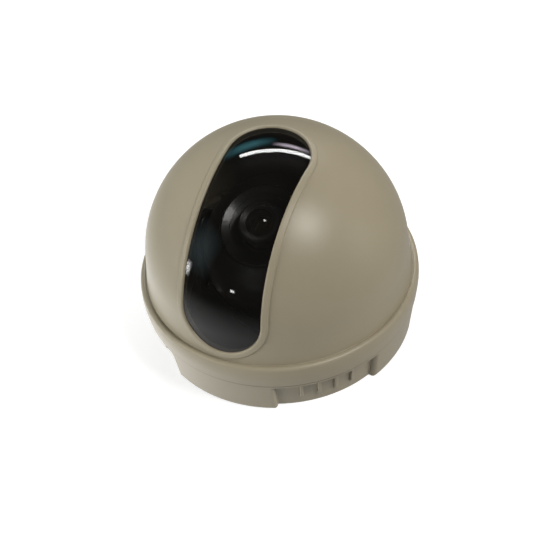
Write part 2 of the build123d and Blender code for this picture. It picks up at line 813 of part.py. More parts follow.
# Parts on the main board
with BuildPart() as processor:
    with BuildSketch(head_back.offset(-main_board_low)) as processor_plan:
        Rectangle(processor_side, processor_side)
    extrude(amount=processor_height)
    chamfer(processor.faces().sort_by(lens_axis)[0].edges(), processor_height / 5)
with BuildPart() as capacitors:
    with BuildSketch(head.offset(main_board_top)) as capacitor_plan:
        with Locations((0, capacitor_y)):
            with GridLocations(capacitor_pitch, 0, 3, 1):
                Circle(capacitor_radius)
    extrude(amount=capacitor_height)
    fillet(capacitors.faces().group_by(lens_axis)[-1].edges(), capacitor_radius / 5)
with BuildPart() as cable_socket:
    with BuildSketch(head_back.offset(-main_board_low)) as socket_outside:
        with Locations((0, socket_y)):
            Rectangle(socket_length, socket_width)
    extrude(amount=socket_height)
    with BuildSketch(head_back.offset(-main_board_low + 2 * socket_wall)) as socket_inside:
        with Locations((0, socket_y)):
            Rectangle(socket_length - 2 * socket_wall, socket_width - 2 * socket_wall)
    extrude(amount=socket_height, mode=Mode.SUBTRACT)
with BuildPart() as board_header:
    with BuildSketch(head.offset(main_board_top)) as header_plan:
        with Locations((header_x, 0)):
            Rectangle(header_width, header_pins * header_pitch)
    extrude(amount=sensor_board_low - main_board_top)
    with BuildSketch(head.offset(main_board_top + header_width)) as header_waist:
        with Locations((header_x, 0)):
            with GridLocations(0, header_pitch, 1, header_pins - 1):
                Rectangle(2 * header_width, header_pitch / 4)
    extrude(amount=sensor_board_low - main_board_top - 2 * header_width, mode=Mode.SUBTRACT)

# Lens barrel
with BuildPart() as lens_barrel:
    barrel_section = section(
        head_section,
        (lens_bore_radius, lens_low),
        (thread_radius, lens_low),
        (thread_radius, lens_head_low),
        (lens_head_radius, lens_head_low),
        (lens_head_radius, lens_front - lens_chamfer),
        (lens_head_radius - lens_chamfer, lens_front),
        (trim_outer_radius + hole_gap + lens_flare, lens_front),
        (trim_outer_radius + hole_gap, lens_front - lens_flare / 2),
        (trim_outer_radius + hole_gap, trim_low - hole_gap),
        (glass_radius + hole_gap, trim_low - hole_gap),
        (glass_radius + hole_gap, glass_seat_axial - hole_gap),
        (lens_bore_radius, glass_seat_axial - hole_gap),
    )
    revolve(barrel_section, axis=lens_axis)

# Lens glasses
with BuildPart() as lens_front_glass:
    with BuildSketch(head_section) as front_glass_section:
        with BuildLine():
            Polyline(
                (0, glass_edge_axial + glass_bulge),
                (0, glass_seat_axial),
                (glass_radius, glass_seat_axial),
                (glass_radius, glass_edge_axial),
            )
            front_bow = (glass_radius**2 + glass_bulge**2) / (2 * glass_bulge)
            bow_centre = glass_edge_axial + glass_bulge - front_bow
            bow_middle = sphere_point(front_bow, front_bow - glass_bulge / 4)
            ThreePointArc(
                (glass_radius, glass_edge_axial),
                (bow_middle[0], bow_centre + bow_middle[1]),
                (0, glass_edge_axial + glass_bulge),
            )
        make_face()
    revolve(axis=lens_axis)
with BuildPart() as lens_rear_glass:
    rear_glass_section = section(
        head_section,
        (0, rear_glass_low),
        (lens_bore_radius - hole_gap - rear_glass_bulge, rear_glass_low),
        (lens_bore_radius - hole_gap, rear_glass_low + rear_glass_bulge),
        (lens_bore_radius - hole_gap, rear_glass_low + rear_glass_thickness),
        (0, rear_glass_low + rear_glass_thickness),
    )
    revolve(rear_glass_section, axis=lens_axis)

# Glass retaining ring and lens lock ring
with BuildPart() as glass_ring:
    ring_section = section(
        head_section,
        (trim_inner_radius, trim_low),
        (trim_outer_radius, trim_low),
        (trim_outer_radius, trim_low + trim_thickness),
        (trim_inner_radius, trim_low + trim_lip),
    )
    revolve(ring_section, axis=lens_axis)
with BuildPart() as lens_lock_ring:
    with BuildSketch(head.offset(lock_ring_low)) as lock_ring_plan:
        Circle(lock_ring_radius)
        Circle(thread_radius + running_gap, mode=Mode.SUBTRACT)
    extrude(amount=lock_ring_thickness)
    ring_edges = lens_lock_ring.edges().filter_by(GeomType.CIRCLE)
    chamfer(ring_edges.sort_by(SortBy.RADIUS)[-2:], lens_chamfer)

# Labels and files
os.makedirs("parts", exist_ok=True)
pieces = {
    "mounting_base": mounting_base,
    "cable_grommet": cable_grommet,
    "dome_cover": dome_cover,
    "smoked_window": smoked_window,
    "pan_table": pan_table,
    "pan_retaining_ring": pan_retaining_ring,
    "pan_ring_screws": pan_ring_screws,
    "tilt_arm_left": tilt_arm_left,
    "tilt_arm_right": tilt_arm_right,
    "arm_screws": arm_screws,
    "tilt_washers": tilt_washers,
    "tilt_screws": tilt_screws,
    "ball_front": ball_front,
    "ball_rear": ball_rear,
    "ball_screws": ball_screws,
    "disc_retaining_ring": disc_retaining_ring,
    "lens_disc": lens_disc,
    "disc_screws": disc_screws,
    "sensor_board": sensor_board,
    "image_sensor": image_sensor,
    "infrared_filter": infrared_filter,
    "lens_holder": lens_holder,
    "holder_screws": holder_screws,
    "main_board": main_board,
    "board_spacers": board_spacers,
    "board_screws": board_screws,
    "processor": processor,
    "capacitors": capacitors,
    "cable_socket": cable_socket,
    "board_header": board_header,
    "lens_barrel": lens_barrel,
    "lens_front_glass": lens_front_glass,
    "lens_rear_glass": lens_rear_glass,
    "glass_ring": glass_ring,
    "lens_lock_ring": lens_lock_ring,
}
for piece_name, piece in pieces.items():
    piece.part.label = piece_name
    export_step(piece.part, f"parts/{piece_name}.step")
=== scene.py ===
import json
from math import cos, radians, sin

import bpy
from bpy.props import FloatProperty, FloatVectorProperty, PointerProperty
from mathutils import Matrix, Vector


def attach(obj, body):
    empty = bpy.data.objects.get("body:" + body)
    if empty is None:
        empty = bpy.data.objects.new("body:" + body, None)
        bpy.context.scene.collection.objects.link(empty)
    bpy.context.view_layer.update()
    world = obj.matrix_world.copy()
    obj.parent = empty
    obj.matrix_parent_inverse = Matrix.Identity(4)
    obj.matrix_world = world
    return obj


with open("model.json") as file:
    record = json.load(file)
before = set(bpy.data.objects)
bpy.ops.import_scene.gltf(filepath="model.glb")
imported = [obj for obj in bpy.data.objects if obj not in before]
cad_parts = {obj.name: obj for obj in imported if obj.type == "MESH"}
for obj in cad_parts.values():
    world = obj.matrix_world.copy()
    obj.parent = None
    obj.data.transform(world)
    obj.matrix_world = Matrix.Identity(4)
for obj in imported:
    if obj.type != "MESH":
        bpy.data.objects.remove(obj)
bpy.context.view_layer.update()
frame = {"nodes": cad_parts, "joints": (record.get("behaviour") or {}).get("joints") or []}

bl_info = {
    "name": "Dome Camera Dressing",
    "version": (1, 0, 0),
    "blender": (4, 5, 0),
    "location": "3D View > Sidebar > Dome Camera",
    "description": "Finishes, lens details and studio for a dome security camera",
    "category": "Object",
}

joints = {joint["name"]: joint for joint in frame["joints"]}
nodes = frame["nodes"]
BALL_CENTRE = Vector(joints["tilt"]["pos_m"])
LENS_AXIS = Vector(joints["lens_roll"]["axis"]).normalized()
LENS_TURN = LENS_AXIS.to_track_quat("Z", "Y")
MM = 0.001

# Crease above the shoulder, and seam between cover and base, with the width of the painted shade along
# each
CREASE_RADIUS = 50.8 * MM
CREASE_HEIGHT = 25.5 * MM
CREASE_WIDTH = 0.7 * MM
SEAM_HEIGHT = 15.3 * MM
SEAM_WIDTH = 0.55 * MM

# Middle of the window's thickness, from the middle of the dome
PANE_MIDDLE = 47.9 * MM
# Distance from that middle at which each face's own look is reached
PANE_STEP = 0.3 * MM

# Baffle in the lens bore, with its places along the lens axis from the middle of the ball
BAFFLE_SIDES = 96
BAFFLE_RADIUS = 3.5 * MM
BAFFLE_BACK = 16.0 * MM
BAFFLE_FRONT = 23.3 * MM
BAFFLE_ROUNDING = 0.06 * MM
# Each ledge's width and the drop behind it, from the baffle's front to its iris
BAFFLE_STEPS = (
    (0.35 * MM, 1.7 * MM),
    (0.4 * MM, 0.8 * MM),
    (0.4 * MM, 0.8 * MM),
    (0.4 * MM, 0.8 * MM),
    (0.5 * MM, 0.4 * MM),
)

# Inner glass in the baffle's mouth
INNER_GLASS_SEGMENTS = 96
INNER_GLASS_RINGS = 128
INNER_GLASS_SEAT = 21.65 * MM
INNER_GLASS_EDGE = 0.5 * MM
INNER_GLASS_CURVE = 6.4 * MM
INNER_GLASS_CROWN = 0.75 * MM
INNER_GLASS_ROUNDING = 0.05 * MM

# Modelling of both: pieces of a rounded edge, sharpest angle shaded smooth, and exactness of a cut
ROUNDING_SEGMENTS = 2
SMOOTH_ANGLE = radians(35)
CUT_EXACTNESS = 0.001 * MM

# Colours and tints of the small pieces, and of plain white light
WHITE = (1.0, 1.0, 1.0, 1.0)
RUBBER_BLACK = (0.012, 0.012, 0.012)
ZINC_GREY = (0.56, 0.56, 0.55)
BRASS_YELLOW = (0.62, 0.42, 0.16)
ALUMINIUM_GREY = (0.72, 0.72, 0.73)
PACKAGE_BLACK = (0.018, 0.018, 0.018)
NYLON_WHITE = (0.75, 0.72, 0.64)
TINNED_GREY = (0.55, 0.54, 0.50)
LENS_TINT = (0.96, 0.97, 1.0)
FILTER_TINT = (0.72, 0.92, 0.95)
# Coatings of the glasses, in nanometres
LENS_COATING = 430.0
FILTER_COATING = 520.0

# Lamps: name, direction in the view (right, up, towards the camera), distance, size, watts and tone
LAMPS = (
    ("key_lamp", (0.40, 0.30, 0.865), 0.9, (0.24, 0.24), 4.7, (1.0, 0.99, 0.96)),
    ("low_left_lamp", (-0.90, -0.20, 0.38), 0.8, (0.50, 0.20), 4.1, (0.96, 0.98, 1.0)),
    ("left_lamp", (-0.93, 0.36, -0.02), 0.9, (0.30, 0.40), 2.3, (0.92, 0.97, 1.0)),
    ("right_lamp", (0.95, 0.10, 0.25), 1.0, (0.40, 0.50), 3.2, (1.0, 1.0, 1.0)),
    ("strip_lamp", (-0.02, 1.0, 0.015), 0.8, (0.62, 0.055), 2.7, (1.0, 1.0, 1.0)),
)
# Lamps that light the part without showing in its gloss
LAMPS_OUT_OF_GLOSS = ("low_left_lamp", "left_lamp", "right_lamp")
# Cards that show only in gloss: name, direction in the view, distance, size, strength and tone
CARDS = (
    ("teal_card", (-0.27, 0.94, -0.18), 0.8, (0.48, 0.19), 2.3, (0.25, 0.86, 1.0, 1.0)),
    ("violet_card", (0.15, 0.98, -0.09), 0.8, (0.34, 0.08), 12.0, (0.97, 0.86, 1.0, 1.0)),
    ("sky_card", (-0.90, -0.02, 0.38), 0.8, (0.50, 0.65), 0.75, (0.66, 0.92, 1.0, 1.0)),
    ("pane_card", (-0.97, -0.22, 0.14), 0.5, (0.055, 0.11), 18.0, (1.0, 1.0, 1.0, 1.0)),
    ("lamp_card", (-0.57, -0.57, 0.59), 0.5, (0.04, 0.026), 32.0, (1.0, 1.0, 1.0, 1.0)),
    ("spot_card", (-0.17, 0.36, 0.92), 0.5, (0.024, 0.018), 28.0, (1.0, 1.0, 1.0, 1.0)),
)
# Half a card's width, and the part of the width over which each of its edges fades
CARD_HALF = 0.5
CARD_FADE = 0.4
ROOM_COLOUR = (0.95, 0.98, 1.0, 1.0)
ROOM_STRENGTH = 0.06

# Floor: its side, its depth under the part, the tones of its fibres and its glow in the camera
FLOOR_SIDE = 6.0
FLOOR_DEPTH = 0.2 * MM
FIBRE_DARK = (0.42, 0.42, 0.42)
FIBRE_LIGHT = (0.46, 0.46, 0.46)
FLOOR_GLOW = 0.72
# Floor's painted glow in gloss: full inside one distance from the part and dim past another, brighter at
# the left
GLOSS_FULL = 0.06
GLOSS_END = 0.30
GLOSS_FALL = 3
GLOSS_LEFT, GLOSS_RIGHT = -0.08, 0.05
GLOSS_LEFT_LEVEL, GLOSS_RIGHT_LEVEL = 2.3, 0.5
GLOSS_DIM_LEVEL = 0.06

# Camera
SENSOR_WIDTH = 36.0
CLIP_START = 0.01


class Value:
    """A shader socket that takes part in Python arithmetic by adding Math nodes."""

    def __init__(self, finish, socket):
        self.finish = finish
        self.socket = socket

    def math(self, operation, first, second):
        return self.finish.node("ShaderNodeMath", {"operation": operation}, {0: first, 1: second})

    def __add__(self, other):
        return self.math("ADD", self, other)

    __radd__ = __add__

    def __sub__(self, other):
        return self.math("SUBTRACT", self, other)

    def __rsub__(self, other):
        return self.math("SUBTRACT", other, self)

    def __mul__(self, other):
        return self.math("MULTIPLY", self, other)

    __rmul__ = __mul__

    def __truediv__(self, other):
        return self.math("DIVIDE", self, other)

    def __abs__(self):
        return self.math("ABSOLUTE", self, 0)

    def __pow__(self, other):
        return self.math("POWER", self, other)

    def swing(self):
        """A value between 0 and 1 as a swing of up to a half to either side of 0."""
        return self - 0.5

    def ramp(self, low, high, to_low=0.0, to_high=1.0):
        """Clamped linear ramp of the value from one range to another."""
        ends = {"From Min": low, "From Max": high, "To Min": to_low, "To Max": to_high}
        return self.finish.node("ShaderNodeMapRange", {"clamp": True}, {"Value": self, **ends})


class Finish:
    """One material being built from nodes."""

    def __init__(self, name):
        self.material = bpy.data.materials.new(name)
        self.material.use_nodes = True
        self.tree = self.material.node_tree
        self.tree.nodes.clear()
        self.output = self.tree.nodes.new("ShaderNodeOutputMaterial")

    def node(self, kind, settings=None, inputs=None, output=0):
        """Adds a node, sets it up, feeds its sockets and returns one of its outputs."""
        made = self.tree.nodes.new(kind)
        for name, setting in (settings or {}).items():
            setattr(made, name, setting)
        for name, value in (inputs or {}).items():
            if isinstance(value, Value):
                self.tree.links.new(value.socket, made.inputs[name])
            else:
                made.inputs[name].default_value = value
        return Value(self, made.outputs[output])

    def place(self):
        """Object coordinates in metres."""
        return self.node("ShaderNodeTexCoord", output="Object")

    def from_ball(self):
        """Coordinates from the middle of the ball, unturned."""
        return self.node(
            "ShaderNodeVectorMath", {"operation": "SUBTRACT"}, {0: self.place(), 1: BALL_CENTRE}
        )

    def about_lens(self):
        """Coordinates about the lens: z along its axis, with the origin at the middle of the ball."""
        return self.node(
            "ShaderNodeMapping",
            {"vector_type": "POINT"},
            {"Vector": self.from_ball(), "Rotation": LENS_TURN.inverted().to_euler()},
        )

    def stretched(self, place, scale):
        """Coordinates scaled along each axis, which draws a pattern out where the scale is small."""
        return self.node("ShaderNodeMapping", {"vector_type": "POINT"}, {"Vector": place, "Scale": scale})

    def split(self, vector):
        """The three parts of a vector."""
        parts = self.node("ShaderNodeSeparateXYZ", inputs={0: vector}).socket.node.outputs
        return [Value(self, part) for part in parts]

    def noise(self, place, cells, detail, roughness):
        """Noise between 0 and 1 with a number of cells to the metre."""
        sockets = {"Vector": place, "Scale": cells, "Detail": detail, "Roughness": roughness}
        return self.node("ShaderNodeTexNoise", inputs=sockets)

    def tint(self, factor, first, second):
        """Mix of two colours."""
        return self.node(
            "ShaderNodeMix",
            {"data_type": "RGBA"},
            {0: factor, 6: first, 7: second},
            output=2,
        )

    def bump(self, height, depth):
        """Normal that follows a height between 0 and 1 over a depth in metres."""
        sockets = {"Height": height, "Distance": depth, "Strength": 1.0}
        return self.node("ShaderNodeBump", inputs=sockets)

    def glow(self, strength, tone=WHITE):
        """Light given off by a surface."""
        return self.node("ShaderNodeEmission", inputs={"Color": tone, "Strength": strength})

    def ray(self, kind):
        """1 for one kind of ray and 0 for all others."""
        return self.node("ShaderNodeLightPath", output=kind)

    def close(self, shader):
        """Puts a shader on the surface and returns the material."""
        self.tree.links.new(shader.socket, self.output.inputs["Surface"])
        return self.material

    def surface(self, **sockets):
        """Principled surface; socket names are written with underscores."""
        named = {}
        for name, value in sockets.items():
            named[name.replace("_", " ").title().replace("Ior", "IOR")] = value
        return self.close(self.node("ShaderNodeBsdfPrincipled", inputs=named))


def colour(rgb, share=1.0):
    """Four-part colour from three parts, made lighter or darker by a share."""
    return (*(min(1.0, part * share) for part in rgb[:3]), 1.0)


def moulded_plastic(name, rgb, roughness, grain_cells, grain_depth, mottle):
    """Satin moulded plastic with a spark-eroded grain and slight flow mottling."""
    dark, light, flow_shade = 0.82, 1.12, 0.6
    flow_gloss, grain_gloss, smoothest = 0.12, 0.10, 0.05
    finish = Finish(name)
    place = finish.place()
    grain = finish.noise(place, grain_cells, detail=3.0, roughness=0.6)
    flow = finish.noise(place, cells=45.0, detail=3.0, roughness=0.55)
    patch = finish.noise(place, cells=14.0, detail=2.0, roughness=0.5)
    shade = (flow.swing() * flow_shade + patch.swing()) * mottle
    body = finish.tint((shade + 0.5).ramp(0, 1), colour(rgb, dark), colour(rgb, light))
    gloss = roughness + flow.swing() * flow_gloss + grain.swing() * grain_gloss
    gloss = gloss.ramp(smoothest, 1.0, smoothest, 1.0)
    return finish, body, gloss, finish.bump(grain, grain_depth)


def beige_shell(settings):
    """Beige cover and base: moulded grain and flow, with painted shade and some streaked dirt darkening
    the crease and the seam.
    """
    finish, body, gloss, normal = moulded_plastic(
        "beige_moulded_plastic",
        settings.shell_colour,
        settings.shell_roughness,
        grain_cells=2600.0,
        grain_depth=0.04 * MM,
        mottle=0.5,
    )
    place = finish.place()
    x, y, height = finish.split(place)
    reach = (x * x + y * y) ** 0.5 - CREASE_RADIUS
    rise = height - CREASE_HEIGHT
    crease = 1 - ((reach * reach + rise * rise) ** 0.5 / CREASE_WIDTH).ramp(0, 1)
    seam = 1 - (abs(height - SEAM_HEIGHT) / SEAM_WIDTH).ramp(0, 1)
    streak = finish.noise(place, cells=120.0, detail=4.0, roughness=0.6)
    # Painted shade in the crease and in the seam between cover and base, broken up by streaks like dirt
    painted_shade_and_dirt = crease * streak.ramp(0.2, 0.8, 0.1, 0.4) + seam * streak.ramp(0.2, 0.8, 0.8, 1.0)
    # The painted shade darkens the shell's own colour to three tenths of it
    base = finish.tint(painted_shade_and_dirt.ramp(0, 1), body, colour(settings.shell_colour, share=0.3))
    return finish.surface(base_color=base, roughness=gloss, normal=normal, ior=1.5)


def smoked_pane(settings):
    """Smoked window: dark and glossy outside, clearer on its inner face, with wiping marks and haze."""
    clean_gloss, haze_gloss, wipe_gloss, inner_gloss = 0.015, 0.02, 0.015, 0.25
    inner_density, wipe_density = 0.06, 0.01
    finish = Finish("smoked_plastic")
    place = finish.place()
    radius = finish.node(
        "ShaderNodeVectorMath", {"operation": "LENGTH"}, {0: finish.from_ball()}, output="Value"
    )
    outside = radius.ramp(PANE_MIDDLE - PANE_STEP, PANE_MIDDLE + PANE_STEP)
    haze = finish.noise(place, cells=60.0, detail=4.0, roughness=0.65)
    drawn_out = finish.stretched(place, (1.0, 0.15, 0.15))
    wipes = finish.noise(drawn_out, cells=900.0, detail=2.0, roughness=0.6)
    gloss = clean_gloss + haze.ramp(0.45, 0.8) * haze_gloss + wipes.ramp(0.55, 0.8) * wipe_gloss
    gloss = gloss + (1 - outside) * inner_gloss
    tone = finish.tint(haze, colour(settings.window_colour), colour(settings.window_colour, share=1.6))
    density = outside.ramp(0, 1, inner_density, settings.window_density)
    density = density + wipes.ramp(0.62, 0.85) * wipe_density
    return finish.surface(base_color=tone, roughness=gloss, alpha=density, ior=1.6)


def black_moulding(settings):
    """Black satin plastic of the ball, its disc, the arms and the pan table."""
    finish, body, gloss, normal = moulded_plastic(
        "black_moulded_plastic",
        settings.ball_colour,
        roughness=0.30,
        grain_cells=3200.0,
        grain_depth=0.02 * MM,
        mottle=0.7,
    )
    return finish.surface(base_color=body, roughness=gloss, normal=normal, ior=1.8)


def turned_black_metal(settings):
    """Black anodised metal with the fine rings that turning leaves."""
    clean_gloss, cloud_gloss, ring_gloss = 0.28, 0.12, 0.06
    finish = Finish("black_anodised_metal")
    place = finish.about_lens()
    x, y, z = finish.split(place)
    radius = (x * x + y * y) ** 0.5
    rings = finish.node(
        "ShaderNodeTexWave",
        {"wave_type": "BANDS", "bands_direction": "X"},
        {
            "Vector": finish.node("ShaderNodeCombineXYZ", inputs={0: radius, 1: z}),
            "Scale": 900.0,
            "Distortion": 1.5,
        },
        output="Fac",
    )
    cloud = finish.noise(place, cells=300.0, detail=3.0, roughness=0.6)
    base = finish.tint(cloud, colour(settings.lens_colour), colour(settings.lens_colour, share=1.8))
    gloss = clean_gloss + cloud * cloud_gloss + rings * ring_gloss
    normal = finish.bump(rings, depth=0.015 * MM)
    return finish.surface(base_color=base, roughness=gloss, metallic=0.4, normal=normal)


def metal(name, rgb, roughness):
    """Plated or machined metal with fine scratches and dull patches."""
    scratch_gloss, patch_gloss = 0.15, 0.1
    finish = Finish(name)
    place = finish.place()
    drawn_out = finish.stretched(place, (1.0, 0.08, 1.0))
    scratch = finish.noise(drawn_out, cells=2500.0, detail=3.0, roughness=0.6)
    patch = finish.noise(place, cells=400.0, detail=3.0, roughness=0.6)
    base = finish.tint(patch, colour(rgb), colour(rgb, share=0.75))
    gloss = roughness + scratch.swing() * scratch_gloss + patch * patch_gloss
    normal = finish.bump(scratch, depth=0.01 * MM)
    return finish.surface(base_color=base, roughness=gloss, metallic=1.0, normal=normal)


def circuit_board(settings):
    """Green solder mask with copper runs under it and tinned pads."""
    mask_gloss, tin_gloss, tin_metal = 0.32, 0.08, 0.9
    finish = Finish("green_circuit_board")
    place = finish.about_lens()
    runs = finish.node(
        "ShaderNodeTexBrick",
        {"offset": 0.5, "squash": 1.0},
        {
            "Vector": place,
            "Scale": 420.0,
            "Mortar Size": 0.12,
            "Mortar Smooth": 0.2,
            "Brick Width": 1.7,
            "Row Height": 0.4,
        },
        output="Fac",
    )
    pads = finish.node(
        "ShaderNodeTexVoronoi", {"feature": "F1"}, {"Vector": place, "Scale": 520.0}, output="Distance"
    )
    tinned = 1 - pads.ramp(0.10, 0.14)
    mask = finish.tint(runs, colour(settings.board_colour), colour(settings.board_colour, share=1.9))
    base = finish.tint(tinned, mask, colour(TINNED_GREY))
    gloss = mask_gloss - tinned * tin_gloss
    normal = finish.bump(runs, depth=0.02 * MM)
    return finish.surface(base_color=base, roughness=gloss, metallic=tinned * tin_metal, normal=normal)


def clear_glass(name, rgb, coating):
    """Coated optical glass with a trace of dust."""
    finish = Finish(name)
    dust = finish.noise(finish.place(), cells=1500.0, detail=4.0, roughness=0.7)
    return finish.surface(
        base_color=colour(rgb),
        roughness=dust.ramp(0.62, 0.8, 0.0, 0.12),
        ior=1.6,
        transmission_weight=1.0,
        thin_film_thickness=coating,
        thin_film_ior=1.38,
    )


def rubber(name, rgb):
    """Matt rubber with a dusty bloom."""
    clean_gloss, bloom_gloss = 0.75, 0.15
    finish = Finish(name)
    place = finish.place()
    bloom = finish.noise(place, cells=250.0, detail=4.0, roughness=0.6)
    grain = finish.noise(place, cells=3500.0, detail=2.0, roughness=0.5)
    base = finish.tint(bloom.ramp(0.45, 0.8), colour(rgb), colour(rgb, share=2.2))
    gloss = clean_gloss + bloom * bloom_gloss
    normal = finish.bump(grain, depth=0.04 * MM)
    return finish.surface(base_color=base, roughness=gloss, normal=normal)


def dull_plastic(name, rgb, roughness):
    """Small moulded plastic piece, such as a chip package or a socket."""
    finish, body, gloss, normal = moulded_plastic(
        name, rgb, roughness, grain_cells=4500.0, grain_depth=0.02 * MM, mottle=0.5
    )
    return finish.surface(base_color=body, roughness=gloss, normal=normal)


def white_paper():
    """Paper of the floor: white to the camera, and in gloss a painted glow, pale near the part, brighter
    at the left and dim further off.
    """
    finish = Finish("white_paper")
    place = finish.place()
    fibre = finish.noise(place, cells=300.0, detail=4.0, roughness=0.6)
    tone = finish.tint(fibre, colour(FIBRE_DARK), colour(FIBRE_LIGHT))
    paper = finish.node("ShaderNodeBsdfDiffuse", inputs={"Color": tone})
    seen = finish.ray("Is Camera Ray") + finish.ray("Is Transmission Ray")
    lit = finish.node("ShaderNodeAddShader", inputs={0: paper, 1: finish.glow(seen * FLOOR_GLOW)})
    x, y, _ = finish.split(place)
    # Painted light on the floor that shows only in reflections: stronger near the part and at the left
    near = ((x * x + y * y) ** 0.5).ramp(GLOSS_FULL, GLOSS_END, 1.0, 0.0) ** GLOSS_FALL
    level = near * x.ramp(GLOSS_LEFT, GLOSS_RIGHT, GLOSS_LEFT_LEVEL, GLOSS_RIGHT_LEVEL) + GLOSS_DIM_LEVEL
    in_gloss = finish.ray("Is Glossy Ray")
    return finish.close(
        finish.node("ShaderNodeMixShader", inputs={0: in_gloss, 1: lit, 2: finish.glow(level)})
    )


def card_light(name, strength, tone):
    """Glow that fades towards the edges of a card."""
    finish = Finish(name)
    x, y, _ = finish.split(finish.place())
    edge = (CARD_HALF - abs(x)).ramp(0.0, CARD_FADE) * (CARD_HALF - abs(y)).ramp(0.0, CARD_FADE)
    return finish.close(finish.glow(edge * strength, tone))


def wear(names, material):
    """Gives the named nodes one material."""
    for name in names:
        if not nodes[name].material_slots:
            nodes[name].data.materials.append(material)
        for slot in nodes[name].material_slots:
            slot.material = material


class ShellSettings(bpy.types.PropertyGroup):
    """Colours and finishes of the camera."""

    shell_colour: FloatVectorProperty(
        name="Shell",
        description="Cover and base plastic",
        subtype="COLOR",
        default=(0.33, 0.286, 0.2),
    )
    shell_roughness: FloatProperty(
        name="Shell roughness",
        description="How matt the cover and base are",
        subtype="FACTOR",
        default=0.39,
        min=0,
        max=1,
    )
    window_colour: FloatVectorProperty(
        name="Window",
        description="Smoked plastic",
        subtype="COLOR",
        default=(0.004, 0.0035, 0.003),
    )
    window_density: FloatProperty(
        name="Window density",
        description="How dark the window's outer face is",
        subtype="FACTOR",
        default=0.52,
        min=0,
        max=1,
    )
    ball_colour: FloatVectorProperty(
        name="Ball",
        description="Black plastic inside",
        subtype="COLOR",
        default=(0.02, 0.018, 0.016),
    )
    lens_colour: FloatVectorProperty(
        name="Lens barrel",
        description="Black anodised metal",
        subtype="COLOR",
        default=(0.035, 0.033, 0.031),
    )
    board_colour: FloatVectorProperty(
        name="Boards",
        description="Solder mask",
        subtype="COLOR",
        default=(0.005, 0.06, 0.025),
    )


class ViewSettings(bpy.types.PropertyGroup):
    """Where the photograph was taken from."""

    azimuth: FloatProperty(
        name="Azimuth",
        description="Right of the window",
        subtype="ANGLE",
        default=radians(29.31),
    )
    elevation: FloatProperty(
        name="Elevation",
        description="Above the floor",
        subtype="ANGLE",
        default=radians(46.285),
    )
    roll: FloatProperty(
        name="Roll",
        description="Lean of the camera",
        subtype="ANGLE",
        default=radians(-5.826),
    )
    distance: FloatProperty(
        name="Distance",
        description="From the aim point",
        subtype="DISTANCE",
        default=1.1371,
    )
    focal_length: FloatProperty(
        name="Focal length",
        description="On a 36 mm sensor",
        default=192.857,
    )
    aim_right: FloatProperty(
        name="Aim right",
        description="Aim past the dome centre",
        subtype="DISTANCE",
        default=0.0011,
    )
    aim_up: FloatProperty(
        name="Aim up",
        description="Aim past the dome centre",
        subtype="DISTANCE",
        default=-0.0125,
    )


class DOMECAM_OT_finish_shell(bpy.types.Operator):
    """Finish the cover, the base and the grommet"""

    bl_idname = "domecam.finish_shell"
    bl_label = "Finish Shell"

    def execute(self, context):
        wear(["dome_cover", "mounting_base"], beige_shell(context.scene.domecam_shell))
        wear(["cable_grommet"], rubber("black_rubber", RUBBER_BLACK))
        return {"FINISHED"}


class DOMECAM_OT_finish_window(bpy.types.Operator):
    """Finish the smoked window"""

    bl_idname = "domecam.finish_window"
    bl_label = "Finish Window"

    def execute(self, context):
        wear(["smoked_window"], smoked_pane(context.scene.domecam_shell))
        return {"FINISHED"}


class DOMECAM_OT_finish_works(bpy.types.Operator):
    """Finish the ball, the arms, the boards and the screws inside"""

    bl_idname = "domecam.finish_works"
    bl_label = "Finish Works"

    def execute(self, context):
        settings = context.scene.domecam_shell
        black = ["pan_table", "pan_retaining_ring", "tilt_arm_left", "tilt_arm_right"]
        black += ["ball_front", "ball_rear", "disc_retaining_ring", "lens_disc"]
        wear(black, black_moulding(settings))
        screws = ["pan_ring_screws", "arm_screws", "tilt_washers", "tilt_screws", "ball_screws"]
        screws += ["disc_screws", "holder_screws", "board_screws"]
        wear(screws, metal("zinc_plated_steel", ZINC_GREY, roughness=0.28))
        wear(["board_spacers"], metal("turned_brass", BRASS_YELLOW, roughness=0.25))
        wear(["capacitors"], metal("drawn_aluminium", ALUMINIUM_GREY, roughness=0.3))
        wear(["sensor_board", "main_board"], circuit_board(settings))
        chips = ["image_sensor", "lens_holder", "processor", "board_header"]
        wear(chips, dull_plastic("black_package", PACKAGE_BLACK, roughness=0.5))
        wear(["cable_socket"], dull_plastic("white_nylon", NYLON_WHITE, roughness=0.45))
        return {"FINISHED"}


class DOMECAM_OT_finish_lens(bpy.types.Operator):
    """Finish the lens barrel, its rings and its glasses"""

    bl_idname = "domecam.finish_lens"
    bl_label = "Finish Lens"

    def execute(self, context):
        black = turned_black_metal(context.scene.domecam_shell)
        wear(["lens_barrel", "glass_ring", "lens_lock_ring"], black)
        coated = clear_glass("coated_glass", LENS_TINT, LENS_COATING)
        wear(["lens_front_glass", "lens_rear_glass"], coated)
        wear(["infrared_filter"], clear_glass("filter_glass", FILTER_TINT, FILTER_COATING))
        return {"FINISHED"}


def choose_faces(piece, direction, nearness=0.99):
    """Selects the faces of a piece in edit mode that look along a direction."""
    bpy.ops.mesh.select_all(action="DESELECT")
    bpy.ops.object.mode_set(mode="OBJECT")
    turn = piece.matrix_world.to_3x3()
    for face in piece.data.polygons:
        face.select = (turn @ face.normal).dot(direction) > nearness
    bpy.ops.object.mode_set(mode="EDIT")


def settle(piece, body, material, rounding):
    """Rounds a piece's edges, puts its place in its mesh, and gives it a body and a finish."""
    bpy.ops.object.mode_set(mode="OBJECT")
    bevel = piece.modifiers.new("edge_rounding", "BEVEL")
    bevel.width = rounding
    bevel.segments = ROUNDING_SEGMENTS
    bevel.limit_method = "ANGLE"
    bpy.ops.object.modifier_apply(modifier=bevel.name)
    bpy.ops.object.transform_apply(location=True, rotation=True, scale=True)
    bpy.ops.object.shade_smooth_by_angle(angle=SMOOTH_ANGLE)
    piece.data.materials.append(material)
    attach(piece, body)
    bpy.ops.object.select_all(action="DESELECT")


